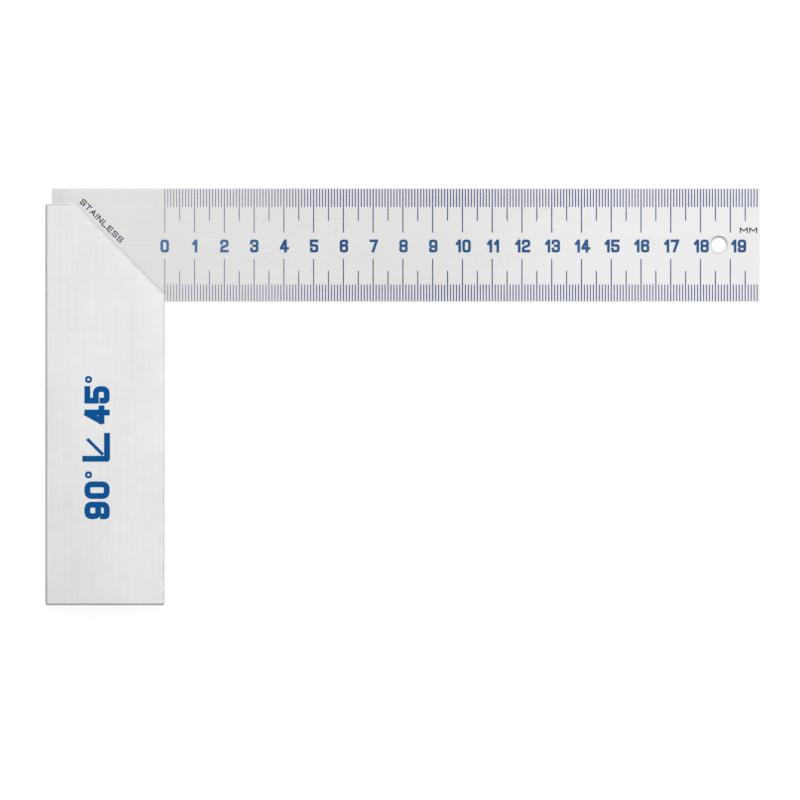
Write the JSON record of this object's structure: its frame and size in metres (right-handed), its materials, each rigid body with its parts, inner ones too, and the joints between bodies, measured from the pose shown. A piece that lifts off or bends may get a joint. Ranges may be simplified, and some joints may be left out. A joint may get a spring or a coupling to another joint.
{
  "type": "try square",
  "caption": "Metric try and mitre square: a thin graduated steel blade held at right angles in the slotted end of a thick aluminium stock with a 45 degree shoulder.",
  "frame": {"origin": "middle of the footprint, on the plane of the stock's back face, which is the plane the square lies on", "axes": "+X along the blade towards its tip, +Y across the blade towards its outer edge (the stock runs towards -Y), +Z out of the graduated front face. The zero of the scale is the stock's inner face, at x = -0.0800"},
  "size_m": [0.24, 0.14, 0.016],
  "materials": {
    "stock_aluminium": "satin, grain along the stock",
    "blade_stainless": "brushed along the blade",
    "pin_steel": "ground",
    "scale_ink": "filled scale lines, dark blue-grey",
    "numeral_ink": "printed numerals and device, blue",
    "stamp_ink": "small printed lettering, dark grey"
  },
  "bodies": {
    "root": {"stock": "stock_aluminium", "blade": "blade_stainless", "corner_pin": "pin_steel", "upper_pin": "pin_steel", "lower_pin": "pin_steel"}
  },
  "joints": []
}
